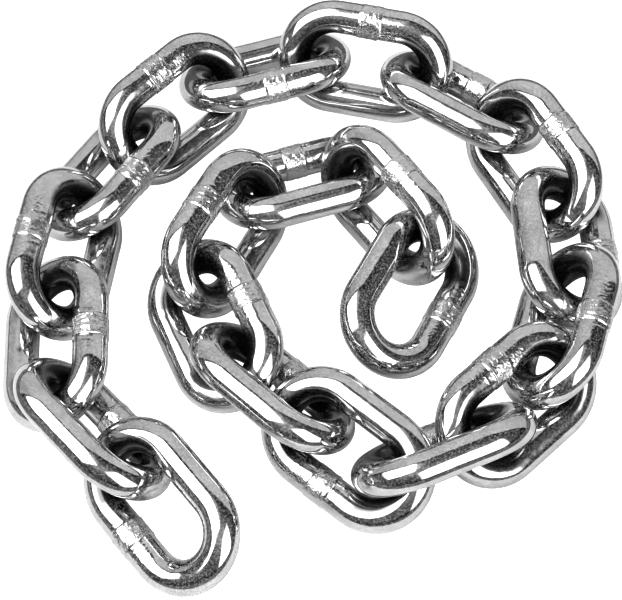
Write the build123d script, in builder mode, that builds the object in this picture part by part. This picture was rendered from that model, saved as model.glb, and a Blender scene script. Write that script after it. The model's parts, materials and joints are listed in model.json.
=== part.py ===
"""Short-link anchor chain lead of 21 welded links, lying in a loose clockwise coil.

Millimetres, +Z up. The origin is on the surface that the chain lies on, under the
middle of the coil's bounding box. Link 1 is the outer end and link 21 the inner end.
"""
from build123d import *

import os
from math import cos, hypot, radians, sin

# Driving dimensions of one link
wire_diameter = 8.0
inside_length = 27.0
inside_width = 12.0

# The flash of the butt weld, a low collar round the middle of one limb
weld_diameter = 8.6
weld_length = 5.5
weld_edge = 0.25

# How the chain lies. Link 1 points first_heading degrees from +X. Each row is one
# link, outer end first:
#   turn   degrees from the heading of the link before, left positive
#   roll   degrees about the link's own length, positive when its left limb is high
#   hook   mm from the crown of the link before back to this link's crown
#   side   mm that this link sits to the left of the link before
#   weld   the limb that carries the weld, high or low
first_heading = 129.0
lay = [
    (0, -38, 0.0, 0.0, "low"),
    (4, 49, 11.5, 0.0, "low"),
    (-41, -33, 8.5, 0.5, "high"),
    (-11, 46, 12.5, 0.5, "high"),
    (-26, -34, 9.5, 0.5, "high"),
    (-10, 47, 12.0, -1.0, "high"),
    (-28, -33, 9.5, -0.5, "high"),
    (-29, 52, 9.5, 0.0, "high"),
    (-21, -34, 9.0, -0.5, "low"),
    (-28, 49, 10.0, -0.5, "high"),
    (-25, -31, 10.5, 0.0, "low"),
    (-21, 47, 13.0, -0.5, "high"),
    (-30, -36, 12.0, 1.0, "high"),
    (-20, 56, 14.0, 1.0, "low"),
    (-63, -33, 9.0, 2.0, "low"),
    (-2, 44, 13.0, 0.0, "low"),
    (-24, -31, 13.0, 1.0, "high"),
    (-52, 56, 9.0, -1.5, "high"),
    (-45, -28, 8.5, 1.0, "low"),
    (-70, 67, 7.5, -2.5, "high"),
    (-65, -32, 8.0, 3.5, "low"),
]

# Sizes that follow from the driving dimensions
wire_radius = wire_diameter / 2
weld_radius = weld_diameter / 2
crown_radius = (inside_width + wire_diameter) / 2
limb_length = inside_length - inside_width
crown_reach = (inside_length + wire_diameter) / 2


def heading_vector(heading):
    """The level unit vector that points along a heading in degrees."""
    return Vector(cos(radians(heading)), sin(radians(heading)), 0)


def rest_height(roll, weld):
    """How high a link's centre is when its low limb lies on the surface."""
    low_limb = weld_radius if weld == "low" else wire_radius
    return crown_radius * abs(sin(radians(roll))) + low_limb


def link_plane(centre, heading, roll):
    """A link's own plane: X runs along the link, Y towards its left limb."""
    left = heading_vector(heading + 90)
    across = left * cos(radians(roll)) + Vector(0, 0, 1) * sin(radians(roll))
    along = heading_vector(heading)
    return Plane(origin=centre, x_dir=along, z_dir=along.cross(across))


def lay_links():
    """Every link's plane, each link hooked on to the one before it."""
    planes = []
    heading = first_heading
    middle = Vector(0, 0, 0)
    for turn, roll, hook, side, weld in lay:
        if planes:
            crown_before = middle + heading_vector(heading) * crown_reach
            mean_heading = heading + turn / 2
            back = heading_vector(mean_heading) * -hook
            sideways = heading_vector(mean_heading + 90) * side
            heading += turn
            middle = crown_before + back + sideways + heading_vector(heading) * crown_reach
        centre = middle + Vector(0, 0, rest_height(roll, weld))
        planes.append(link_plane(centre, heading, roll))
    return planes


def reach(plane, direction):
    """How far a link's wire stands out from its centre along a direction."""
    along = abs(plane.x_dir.dot(direction))
    across = abs(plane.y_dir.dot(direction))
    return limb_length / 2 * along + crown_radius * hypot(along, across) + wire_radius


def middle_of(planes, direction):
    """The middle of the coil's extent along a direction."""
    low = min(plane.origin.dot(direction) - reach(plane, direction) for plane in planes)
    high = max(plane.origin.dot(direction) + reach(plane, direction) for plane in planes)
    return (low + high) / 2


def weld_side(roll, weld):
    """Which limb carries the weld: 1 for the left limb and -1 for the right."""
    high_side = 1 if roll > 0 else -1
    return high_side if weld == "high" else -high_side


laid_planes = lay_links()
shift = Vector(
    -middle_of(laid_planes, Vector(1, 0, 0)),
    -middle_of(laid_planes, Vector(0, 1, 0)),
    0,
)

os.makedirs("parts", exist_ok=True)

for number, (laid_plane, row) in enumerate(zip(laid_planes, lay), start=1):
    roll = row[1]
    weld = row[4]
    own_plane = Plane(
        origin=laid_plane.origin + shift,
        x_dir=laid_plane.x_dir,
        z_dir=laid_plane.z_dir,
    )
    with BuildPart(own_plane) as link:
        # Two straight limbs
        with Locations((0, crown_radius, 0), (0, -crown_radius, 0)):
            Cylinder(wire_radius, limb_length, rotation=(0, 90, 0))
        # Two round crowns that close the link
        with Locations((limb_length / 2, 0, 0)):
            Torus(crown_radius, wire_radius, major_angle=180, rotation=(0, 0, -90), align=None)
        with Locations((-limb_length / 2, 0, 0)):
            Torus(crown_radius, wire_radius, major_angle=180, rotation=(0, 0, 90), align=None)
        # The weld collar, with its two rims rounded
        with Locations((0, weld_side(roll, weld) * crown_radius, 0)):
            Cylinder(weld_radius, weld_length, rotation=(0, 90, 0))
        round_edges = link.edges().filter_by(GeomType.CIRCLE)
        fillet(round_edges.filter_by(lambda edge: edge.radius > wire_radius + weld_edge / 2), weld_edge)
    link.part.label = f"link_{number:02d}"
    export_step(link.part, f"parts/{link.part.label}.step")
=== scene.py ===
"""Looks of a polished short-link anchor chain lead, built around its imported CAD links.

Everything is in metres in the CAD's own frame, +Z up. Each link is one detailed mesh, swept
round the bar's own path and placed by measuring the CAD link that it stands for.
"""
import json
import math

import bpy
import numpy as np
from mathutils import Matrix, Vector

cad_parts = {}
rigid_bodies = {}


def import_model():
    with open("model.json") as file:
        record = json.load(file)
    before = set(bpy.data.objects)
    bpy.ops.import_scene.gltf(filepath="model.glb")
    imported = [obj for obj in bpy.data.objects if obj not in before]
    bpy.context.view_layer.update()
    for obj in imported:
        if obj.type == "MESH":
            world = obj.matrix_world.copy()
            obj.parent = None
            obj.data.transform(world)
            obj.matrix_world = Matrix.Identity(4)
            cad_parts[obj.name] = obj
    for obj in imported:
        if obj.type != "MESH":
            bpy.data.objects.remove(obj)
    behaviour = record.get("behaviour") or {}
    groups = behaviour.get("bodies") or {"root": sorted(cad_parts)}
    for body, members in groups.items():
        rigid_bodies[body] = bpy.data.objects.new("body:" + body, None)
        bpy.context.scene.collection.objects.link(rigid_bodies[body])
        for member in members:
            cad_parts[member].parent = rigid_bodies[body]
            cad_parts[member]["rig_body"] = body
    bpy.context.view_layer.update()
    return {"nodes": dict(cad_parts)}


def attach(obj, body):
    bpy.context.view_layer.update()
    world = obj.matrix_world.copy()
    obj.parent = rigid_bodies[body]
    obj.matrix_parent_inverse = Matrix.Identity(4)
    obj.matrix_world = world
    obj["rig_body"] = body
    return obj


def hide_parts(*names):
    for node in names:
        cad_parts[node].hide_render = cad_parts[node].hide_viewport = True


MM = 0.001

# The camera: a product view from above the front of the coil
CAMERA_ELEVATION = 61.5
CAMERA_DISTANCE = 0.440
CAMERA_LENS = 111.31
CAMERA_AIM = Vector((-1.056 * MM, -3.437 * MM, 8.218 * MM))

# The bar: its visible skin lies a hair inside the CAD surface, all but the ridges by the weld
SKIN_GAP = 0.05 * MM
WAVE_RISE = 0.022 * MM
WAVE_LENGTH = 11 * MM
PEEL_RISE = 0.0022 * MM
PEEL_LENGTH = 2.2 * MM
PEEL_WAVES = 96

# Random relief: how many waves make it up, and their lengths as shares of the wanted one
RELIEF_WAVES = 48
RELIEF_SPREAD = (0.75, 1.5)
FIRST_SEED = 4100

# The weld on one limb of each link: its collar and the two uneven ridges at its ends
WELD_HALF = 2.45 * MM
WELD_RISE = 0.15 * MM
WELD_SHOULDER = 0.32 * MM
RIDGE_RISE = 0.13 * MM
RIDGE_WIDTH = 0.19 * MM
RIDGE_WANDER = 0.22 * MM
WANDER_LENGTH = 6 * MM
RIDGE_LEVEL = (0.35, 0.85)
RIDGE_UNEVEN = 0.4
RIDGE_TOP = 1.1
COLLAR_WANDER = 0.5

# A fainter ridge beyond each of the two, at a distance in millimetres
FAINT_PLACE = (1.0, 1.8)
FAINT_WIDTH = 0.3 * MM
FAINT_SHARE = 0.35
FAINT_CUT = 0.5

# Crinkled skin on the weld, with facets, fading over the skin that was heated
CRINKLE_RISE = 0.020 * MM
CRINKLE_LENGTH = 1.2 * MM
CRINKLE_WAVES = 72
FACET_LENGTH = 2.6 * MM
FACET_WAVES = 40
FACET_SHARE = 1.4
HEATED_HALF = 5.0 * MM
HEATED_REACH = 1.4
HEATED_CRINKLE = 0.10

# Short blocky bars across the weld, two to six of them, with widths in millimetres
BAR_RISE = 0.055 * MM
BAR_COUNT = (2, 7)
BAR_SPREAD = 0.85
BAR_STEEPNESS = 4
BAR_CUT = (1.5, 3.4)
BAR_WIDTH = (0.14, 0.34)

# Marks of the two clamps, at a distance from the weld in millimetres
CLAMP_RISE = 0.009 * MM
CLAMP_LENGTH = 0.9 * MM
CLAMP_WAVES = 96
CLAMP_RADIUS = 2.0 * MM
CLAMP_PLACE = (4.6, 6.6)
CLAMP_MARGIN = 0.1
CLAMP_EDGE = 2.2
CLAMP_RAGGED = 0.4

# How much of the weld's roughness the heated skin and the clamp marks have
HEATED_ROUGH = 0.4
WORN_ROUGH = 0.3

# The finest texture of the skin, in millimetres for the material's bump
GRAIN_RISE = 0.006
CRACKLE_RISE = 0.13

# The mesh: rings are close together at the weld and further apart elsewhere
FINE_HALF = 8.6 * MM
CLEAR_OF_WELD = 0.15
FINE_RINGS = 128
COARSE_RINGS = 156
RING_POINTS = 96

# Painted shade inside a crown that holds a neighbour, where the neighbour shades the skin; it
# ends past these reaches. A crown's middle lies at a share of the bar's length from the middle
# of the weld.
CROWN_SHADE_REACH = 1.2 * MM
CROWN_SHADE_FADE = 3.5 * MM
CROWN_SHADE_LIP = 0.08
CROWN_SHADE_SOFTNESS = 0.42
CROWN_AHEAD = 0.25
CROWN_BEHIND = 0.75

# The steel: its colour, and the painted shade inside crowns that hold a neighbour: its dark
# tone, strength and extra roughness
STEEL = (0.66, 0.66, 0.663)
CROWN_SHADE_TONE = 0.13
CROWN_SHADE_STRENGTH = 0.97
CROWN_SHADE_ROUGH = 0.12
TONE_LEAST = 0.66
TONE_CHANGE = 0.17

# Noise in the steel: scale per metre, detail and the noise's own roughness
CLOUD = (160, 3, 0.5)
GRAIN = (900, 4, 0.6)
FLECK = (2150, 3, 0.7)
CRACKLE = (1900, 3, 0.6)

# What the noises set, as noise from and to, then the values there: the tone runs from 0 to 1,
# SHINE is the roughness, HAZE the metallic value and DULL the weld's extra roughness
FLECK_TONE = (0.36, 0.62)
CLOUD_TONE = (0.3, 0.7)
SHINE = (0.3, 0.7, 0.05, 0.10)
HAZE = (0.46, 0.61, 1.0, 0.78)
DULL = (0.3, 0.7, 0.01, 0.14)

# The softboxes: azimuth, elevation, half width, half height, soft edge and strength
SOFTBOXES = (
    (-99, 54, 0.41, 0.50, 0.09, 5.5),  # large, high on the left
    (140, 31, 0.36, 0.44, 0.12, 5.0),  # large, in front on the right
    (185, 60, 0.42, 0.36, 0.25, 0.25),  # weak, in front
    (-75, 80, 0.26, 0.24, 0.12, 0.50),  # weak, overhead
    (-95, 4, 0.30, 0.14, 0.10, 0.25),  # weak, low on the left
)
SMALLEST_DEPTH = 0.001

# The backdrop, behind and below a tilted edge: how steep the edge is, how far it drops at the
# sides and how soft it is. Each tone is from and to, then how bright there: the backdrop from
# left to right, the room from its front to the backdrop, and the room's share by height.
BACKDROP_SLOPE = 0.46
BACKDROP_SAG = 0.28
BACKDROP_EDGE = 0.04
BACKDROP_TONE = (-0.85, -0.25, 0.53, 0.73)
ROOM_TONE = (-0.60, -0.02, 0.17, 0.05)
ROOM_LOW = (0.0, 0.40, 0.25, 1.0)

# The table: pale near the chain and dark grey past its edge, and lit up for the camera
TABLE_HALF = 3.0
TABLE_RADIUS = 108 * MM
TABLE_EDGE = 6 * MM
TABLE_DROP = 0.2 * MM
NEAR_SHADE = 0.66
FAR_SHADE = 0.13
TABLE_GLOW = 1.30
PAPER_SHARE = 0.15

DISPLAY_GAMMA = 0.74
DISPLAY_EXPOSURE = 0.26


def make_camera():
    """The product view, with no roll, shift or depth of field."""
    elevation = math.radians(CAMERA_ELEVATION)
    back = Vector((0, -math.cos(elevation), math.sin(elevation)))
    data = bpy.data.cameras.new("camera")
    data.lens = CAMERA_LENS
    data.clip_start = 0.01
    camera = bpy.data.objects.new("camera", data)
    camera.location = CAMERA_AIM + back * CAMERA_DISTANCE
    camera.rotation_euler = (math.radians(90 - CAMERA_ELEVATION), 0, 0)
    bpy.context.scene.collection.objects.link(camera)
    bpy.context.scene.camera = camera


class Link:
    """The place and sizes of one CAD link, measured on its own surface."""

    def __init__(self, node):
        mesh = node.data
        mesh.calc_loop_triangles()
        points = np.empty(len(mesh.vertices) * 3)
        mesh.vertices.foreach_get("co", points)
        points = points.reshape(-1, 3)
        corners = np.empty(len(mesh.loop_triangles) * 3, np.int32)
        mesh.loop_triangles.foreach_get("vertices", corners)
        triangles = points[corners.reshape(-1, 3)]
        edges = triangles[:, 1:] - triangles[:, :1]
        areas = np.linalg.norm(np.cross(edges[:, 0], edges[:, 1]), axis=1)
        centres = triangles.mean(axis=1)
        offsets = centres - np.average(centres, axis=0, weights=areas)
        spread = offsets.T @ (offsets * areas[:, None])
        thin, wide, along = np.linalg.eigh(spread)[1].T
        if thin[2] < 0:
            thin = -thin
        along_middle, half_length = middle_and_half(points @ along)
        from_middle = np.abs(points @ along - along_middle)
        # The weld collar stands proud of the bar, so the bar is measured clear of it
        clear = from_middle > half_length * CLEAR_OF_WELD
        wide_middle, half_width = middle_and_half(points[clear] @ wide)
        thin_middle, self.radius = middle_and_half(points[clear] @ thin)
        if (points[~clear] @ wide).mean() < wide_middle:
            wide = -wide
            wide_middle = -wide_middle
        self.wide, self.thin, self.along = wide, thin, np.cross(wide, thin)
        along_middle = middle_and_half(points @ self.along)[0]
        self.centre = self.along * along_middle + wide * wide_middle + thin * thin_middle
        self.crown = half_width - self.radius
        self.straight = 2 * (half_length - half_width)
        self.length = 2 * self.straight + 2 * math.pi * self.crown


def middle_and_half(values):
    """The middle of a row of values and half of its extent."""
    return (values.max() + values.min()) / 2, (values.max() - values.min()) / 2


def bar_path(link, places):
    """Centre line points and outward directions at distances from the middle of the weld."""
    half = link.straight / 2
    turn = math.pi * link.crown
    x, y, out_x, out_y = (np.zeros(len(places)) for _ in range(4))
    s = np.mod(places, link.length)
    first = s < half
    x[first], y[first], out_y[first] = s[first], link.crown, 1
    right = (s >= half) & (s < half + turn)
    angle = math.pi / 2 - (s[right] - half) / link.crown
    x[right], y[right] = half + link.crown * np.cos(angle), link.crown * np.sin(angle)
    out_x[right], out_y[right] = np.cos(angle), np.sin(angle)
    back = (s >= half + turn) & (s < 3 * half + turn)
    x[back], y[back], out_y[back] = 2 * half + turn - s[back], -link.crown, -1
    left = (s >= 3 * half + turn) & (s < 3 * half + 2 * turn)
    angle = -math.pi / 2 - (s[left] - 3 * half - turn) / link.crown
    x[left], y[left] = -half + link.crown * np.cos(angle), link.crown * np.sin(angle)
    out_x[left], out_y[left] = np.cos(angle), np.sin(angle)
    last = s >= 3 * half + 2 * turn
    x[last], y[last], out_y[last] = s[last] - link.length, link.crown, 1
    middle = link.centre + x[:, None] * link.along + y[:, None] * link.wide
    outward = out_x[:, None] * link.along + out_y[:, None] * link.wide
    return middle, outward


def relief(random, link, places, angles, wavelength, count=RELIEF_WAVES):
    """Random waves of about one wavelength over the bar, which close round it both ways."""
    field = np.zeros((len(places), len(angles)))
    for _ in range(count):
        heading = random.uniform(0, math.tau)
        length = wavelength * random.uniform(*RELIEF_SPREAD)
        along = round(link.length / length * math.cos(heading)) * math.tau / link.length
        around = round(math.tau * link.radius / length * math.sin(heading))
        phase = random.uniform(0, math.tau)
        field += np.cos(places * along + phase)[:, None] * np.cos(angles * around)
        field -= np.sin(places * along + phase)[:, None] * np.sin(angles * around)
    return field / math.sqrt(count / 2)


def bump_at(distance, width):
    """A rounded ridge of height 1 at distance 0."""
    return np.exp(-((distance / width) ** 2))


def weld_relief(random, link, places, angles):
    """How far the weld stands out of the bar, and how much of the skin it has roughened."""
    distance = places[:, None] + 0 * angles
    once = np.zeros(1)
    wander = relief(random, link, once, angles, WANDER_LENGTH) * RIDGE_WANDER
    edge = np.abs(distance + wander * COLLAR_WANDER)
    collar = 0.5 - 0.5 * np.tanh((edge - WELD_HALF) / (WELD_SHOULDER / 2))
    rise = collar * WELD_RISE
    for side in (-1, 1):
        level = random.uniform(*RIDGE_LEVEL)
        uneven = level + RIDGE_UNEVEN * relief(random, link, once, angles, WANDER_LENGTH)
        line = distance - side * WELD_HALF + wander
        rise += bump_at(line, RIDGE_WIDTH) * RIDGE_RISE * np.clip(uneven, 0, RIDGE_TOP)
        faint = distance - side * (WELD_HALF + random.uniform(*FAINT_PLACE) * MM) - wander
        strong = np.clip(uneven - FAINT_CUT, 0, 1)
        rise += bump_at(faint, FAINT_WIDTH) * FAINT_SHARE * RIDGE_RISE * strong
    heated = np.clip(HEATED_REACH - np.abs(distance) / HEATED_HALF, 0, 1)
    crinkle = relief(random, link, places, angles, CRINKLE_LENGTH, CRINKLE_WAVES)
    facets = relief(random, link, places, angles, FACET_LENGTH, FACET_WAVES)
    rough = crinkle + FACET_SHARE * np.tanh(2 * facets)
    rise += CRINKLE_RISE * rough * (collar + HEATED_CRINKLE * heated)
    for _ in range(random.integers(*BAR_COUNT)):
        turn = np.cos(angles - random.uniform(0, math.tau))
        line = distance - random.uniform(-BAR_SPREAD, BAR_SPREAD) * WELD_HALF - wander
        block = np.clip(turn * BAR_STEEPNESS - random.uniform(*BAR_CUT), 0, 1)
        rise += bump_at(line, random.uniform(*BAR_WIDTH) * MM) * BAR_RISE * block
    marks = relief(random, link, places, angles, CLAMP_LENGTH, CLAMP_WAVES)
    worn = 0
    for side in (-1, 1):
        along = (distance - side * random.uniform(*CLAMP_PLACE) * MM) / CLAMP_RADIUS
        held = random.uniform(CLAMP_MARGIN, math.pi - CLAMP_MARGIN)
        turn = np.angle(np.exp(1j * (angles - held)))
        spot = np.hypot(along, turn * link.radius / CLAMP_RADIUS)
        patch = np.clip(CLAMP_EDGE - 2 * spot + CLAMP_RAGGED * marks, 0, 1)
        rise += CLAMP_RISE * marks * patch
        worn = worn + patch
    roughened = collar + HEATED_ROUGH * heated * heated + WORN_ROUGH * worn
    return rise, np.clip(roughened, 0, 1)


def painted_crown_shade(link, neighbours, places, angles):
    """Painted shade: how far the skin lies inside a crown that holds a neighbour, where the
    neighbour shades it.
    """
    shaded = np.zeros(len(places))
    for neighbour in neighbours:
        ahead = (neighbour.centre - link.centre) @ link.along > 0
        crown_place = link.length * (CROWN_AHEAD if ahead else CROWN_BEHIND)
        away = np.mod(places - crown_place + link.length / 2, link.length) - link.length / 2
        clear = link.crown * math.pi / 2 + CROWN_SHADE_REACH - np.abs(away)
        shaded += np.clip(clear / CROWN_SHADE_FADE, 0, 1)
    inward = np.clip((CROWN_SHADE_LIP - np.cos(angles)) / CROWN_SHADE_SOFTNESS, 0, 1)
    return (shaded[:, None] * inward).astype(np.float32)


def build_link(number, name, link, neighbours, material):
    """One link's mesh, along its own bar and with a weld of its own."""
    random = np.random.default_rng(FIRST_SEED + number)
    fine = np.linspace(-FINE_HALF, FINE_HALF, FINE_RINGS)
    coarse = np.linspace(FINE_HALF, link.length - FINE_HALF, COARSE_RINGS + 2)[1:-1]
    places = np.concatenate((fine, coarse))
    angles = np.linspace(0, math.tau, RING_POINTS, endpoint=False)
    wrapped = np.where(places > link.length / 2, places - link.length, places)
    rise, roughened = weld_relief(random, link, wrapped, angles)
    rise += WAVE_RISE * np.tanh(relief(random, link, places, angles, WAVE_LENGTH))
    rise += PEEL_RISE * relief(random, link, places, angles, PEEL_LENGTH, PEEL_WAVES)
    radius = link.radius - SKIN_GAP + rise
    middle, outward = bar_path(link, places)
    across = np.cos(angles)[None, :, None] * outward[:, None, :]
    across = across + np.sin(angles)[None, :, None] * link.thin
    points = middle[:, None, :] + radius[:, :, None] * across

    rings, around = radius.shape
    ring = np.arange(rings)[:, None] * around
    next_ring = np.roll(ring, -1, axis=0)
    spot = np.arange(around)[None, :]
    next_spot = np.roll(spot, -1, axis=1)
    faces = np.stack(
        (ring + spot, ring + next_spot, next_ring + next_spot, next_ring + spot), axis=-1
    )
    mesh = bpy.data.meshes.new(name)
    mesh.from_pydata(points.reshape(-1, 3), [], faces.reshape(-1, 4).tolist())
    mesh.shade_smooth()
    weld = mesh.attributes.new("weld", "FLOAT", "POINT")
    weld.data.foreach_set("value", roughened.astype(np.float32).ravel())
    # Painted shade: the attribute below holds how strongly the skin inside each held crown is
    # darkened
    crown_shade = mesh.attributes.new("crown_shade", "FLOAT", "POINT")
    shaded = painted_crown_shade(link, neighbours, places, angles)
    crown_shade.data.foreach_set("value", shaded.ravel())
    mesh.materials.append(material)
    piece = bpy.data.objects.new(name, mesh)
    bpy.context.scene.collection.objects.link(piece)
    return piece


class Nodes:
    """A short way to add shader nodes to one tree and join them up."""

    def __init__(self, tree):
        self.tree = tree
        tree.nodes.clear()

    def add(self, kind, inputs=(), **settings):
        node = self.tree.nodes.new(kind)
        for key, value in settings.items():
            setattr(node, key, value)
        for key, value in dict(inputs).items():
            if isinstance(value, bpy.types.NodeSocket):
                self.tree.links.new(value, node.inputs[key])
            else:
                node.inputs[key].default_value = value
        return node

    def math(self, operation, *values):
        return self.add("ShaderNodeMath", enumerate(values), operation=operation).outputs[0]

    def dot(self, vector, direction):
        inputs = {0: vector, 1: direction}
        node = self.add("ShaderNodeVectorMath", inputs, operation="DOT_PRODUCT")
        return node.outputs["Value"]

    def ease(self, value, low, high, at_low=0.0, at_high=1.0):
        inputs = {"Value": value, "From Min": low, "From Max": high}
        inputs.update({"To Min": at_low, "To Max": at_high})
        node = self.add("ShaderNodeMapRange", inputs, interpolation_type="SMOOTHSTEP")
        return node.outputs["Result"]


def polished_steel():
    """Polished stainless bar: faintly rippled, rougher at the weld, with painted shade in the
    crowns.
    """
    material = bpy.data.materials.new("polished_stainless")
    material.use_nodes = True
    n = Nodes(material.node_tree)
    place = n.add("ShaderNodeTexCoord").outputs["Object"]
    weld = n.add("ShaderNodeAttribute", attribute_name="weld").outputs["Fac"]
    crown_shade = n.add("ShaderNodeAttribute", attribute_name="crown_shade").outputs["Fac"]

    def noise(scale, detail, roughness):
        inputs = {"Vector": place, "Scale": scale, "Detail": detail, "Roughness": roughness}
        return n.add("ShaderNodeTexNoise", inputs).outputs["Fac"]

    cloud = noise(*CLOUD)
    grain = noise(*GRAIN)
    fleck = noise(*FLECK)
    # Painted shade: inside crowns that hold a neighbour, the tone drops towards a near-black
    # copy of the steel and the roughness rises
    polished = n.math("SUBTRACT", 1.0, n.math("MULTIPLY", crown_shade, CROWN_SHADE_STRENGTH))
    tone = n.math("ADD", n.ease(fleck, *FLECK_TONE), n.ease(cloud, *CLOUD_TONE))
    tone = n.math("ADD", n.math("MULTIPLY", tone, TONE_CHANGE), TONE_LEAST)
    tone = n.math("MULTIPLY", tone, polished)
    colour = n.add("ShaderNodeMix", {"Factor": tone}, data_type="RGBA")
    colour.inputs["A"].default_value = (*(c * CROWN_SHADE_TONE for c in STEEL), 1)
    colour.inputs["B"].default_value = (*STEEL, 1)
    shine = n.ease(cloud, *SHINE)
    metal = n.ease(fleck, *HAZE)
    dull = n.ease(grain, *DULL)
    roughness = n.math("ADD", shine, n.math("MULTIPLY", dull, weld))
    roughness = n.math("ADD", roughness, n.math("MULTIPLY", crown_shade, CROWN_SHADE_ROUGH))
    crackle_height = n.math("MULTIPLY", weld, CRACKLE_RISE)
    crackle = n.math("MULTIPLY", noise(*CRACKLE), crackle_height)
    height = n.math("ADD", n.math("MULTIPLY", grain, GRAIN_RISE), crackle)
    bump = {"Strength": 1.0, "Distance": MM, "Height": height}
    rippled = n.add("ShaderNodeBump", bump).outputs["Normal"]
    look = {"Base Color": colour.outputs["Result"], "Metallic": metal}
    look.update({"Roughness": roughness, "Normal": rippled})
    shader = n.add("ShaderNodeBsdfPrincipled", look)
    n.add("ShaderNodeOutputMaterial", {"Surface": shader.outputs[0]})
    return material


def direction_of(azimuth, elevation):
    """A direction from its azimuth, 0 at the back and 90 on the right, and its elevation."""
    a, e = math.radians(azimuth), math.radians(elevation)
    return Vector((math.sin(a) * math.cos(e), math.cos(a) * math.cos(e), math.sin(e)))


def softbox(n, look, azimuth, elevation, half_width, half_height, edge):
    """How much of a far rectangular softbox a direction sees, from 0 to 1."""
    facing = direction_of(azimuth, elevation)
    side = direction_of(azimuth + 90, 0)
    up = side.cross(facing)
    depth = n.math("MAXIMUM", n.dot(look, facing), SMALLEST_DEPTH)
    across = n.math("ABSOLUTE", n.math("DIVIDE", n.dot(look, side), depth))
    height = n.math("ABSOLUTE", n.math("DIVIDE", n.dot(look, up), depth))
    width_part = n.ease(across, half_width - edge, half_width + edge, 1.0, 0.0)
    height_part = n.ease(height, half_height - edge, half_height + edge, 1.0, 0.0)
    in_front = n.math("GREATER_THAN", depth, 2 * SMALLEST_DEPTH)
    return n.math("MULTIPLY", n.math("MULTIPLY", width_part, height_part), in_front)


def make_studio():
    """A dark room, a grey backdrop behind, two large softboxes and three weak ones that fill."""
    world = bpy.data.worlds.new("studio")
    bpy.context.scene.world = world
    world.use_nodes = True
    n = Nodes(world.node_tree)
    look = n.add("ShaderNodeTexCoord").outputs["Generated"]
    x, y, z = (n.dot(look, axis) for axis in ((1, 0, 0), (0, 1, 0), (0, 0, 1)))

    sag = n.math("MULTIPLY", n.math("POWER", x, 4.0), BACKDROP_SAG)
    top = n.math("SUBTRACT", y, n.math("MULTIPLY", z, BACKDROP_SLOPE))
    top = n.math("SUBTRACT", top, sag)
    backdrop = n.ease(top, 0.0, BACKDROP_EDGE)
    light = n.math("MULTIPLY", backdrop, n.ease(x, *BACKDROP_TONE))
    for *box, strength in SOFTBOXES:
        light = n.math("ADD", light, n.math("MULTIPLY", softbox(n, look, *box), strength))
    room = n.math("MULTIPLY", n.ease(top, *ROOM_TONE), n.ease(z, *ROOM_LOW))
    light = n.math("ADD", light, room)
    seen = n.add("ShaderNodeLightPath").outputs["Is Camera Ray"]
    light = n.math("MULTIPLY", light, n.math("SUBTRACT", 1.0, seen))
    light = n.math("ADD", light, seen)
    glow = n.add("ShaderNodeBackground", {"Color": (1, 1, 1, 1), "Strength": light})
    n.add("ShaderNodeOutputWorld", {"Surface": glow.outputs[0]})


def make_floor():
    """The plain table that the chain lies on, which the camera sees as almost pure white."""
    half = TABLE_HALF
    corners = [(-half, -half, 0), (half, -half, 0), (half, half, 0), (-half, half, 0)]
    mesh = bpy.data.meshes.new("floor")
    mesh.from_pydata(corners, [], [(0, 1, 2, 3)])
    material = bpy.data.materials.new("white_table")
    material.use_nodes = True
    n = Nodes(material.node_tree)
    place = n.add("ShaderNodeTexCoord").outputs["Object"]
    length = n.add("ShaderNodeVectorMath", {0: place}, operation="LENGTH").outputs["Value"]
    beyond = n.ease(length, TABLE_RADIUS - TABLE_EDGE, TABLE_RADIUS + TABLE_EDGE)
    shade = n.add("ShaderNodeMix", {"Factor": beyond}, data_type="RGBA")
    shade.inputs["A"].default_value = (NEAR_SHADE, NEAR_SHADE, NEAR_SHADE, 1)
    shade.inputs["B"].default_value = (FAR_SHADE, FAR_SHADE, FAR_SHADE, 1)
    paper = n.add("ShaderNodeBsdfDiffuse", {"Color": shade.outputs["Result"]})
    lit = n.add("ShaderNodeEmission", {"Color": (1, 1, 1, 1), "Strength": TABLE_GLOW})
    inputs = {"Fac": PAPER_SHARE, 1: lit.outputs[0], 2: paper.outputs[0]}
    pale = n.add("ShaderNodeMixShader", inputs)
    seen = n.add("ShaderNodeLightPath").outputs["Is Camera Ray"]
    inputs = {"Fac": seen, 1: paper.outputs[0], 2: pale.outputs[0]}
    both = n.add("ShaderNodeMixShader", inputs)
    n.add("ShaderNodeOutputMaterial", {"Surface": both.outputs[0]})
    mesh.materials.append(material)
    floor = bpy.data.objects.new("floor", mesh)
    floor.location.z = -TABLE_DROP
    bpy.context.scene.collection.objects.link(floor)


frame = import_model()
view = bpy.context.scene.view_settings
view.view_transform = "Standard"
view.gamma = DISPLAY_GAMMA
view.exposure = DISPLAY_EXPOSURE
make_camera()
make_studio()
make_floor()

steel = polished_steel()
names = sorted(frame["nodes"])
links = [Link(frame["nodes"][name]) for name in names]
for number, name in enumerate(names):
    neighbours = links[max(number - 1, 0):number] + links[number + 1:number + 2]
    piece = build_link(number, name + "_polished", links[number], neighbours, steel)
    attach(piece, frame["nodes"][name]["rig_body"])
    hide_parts(name)
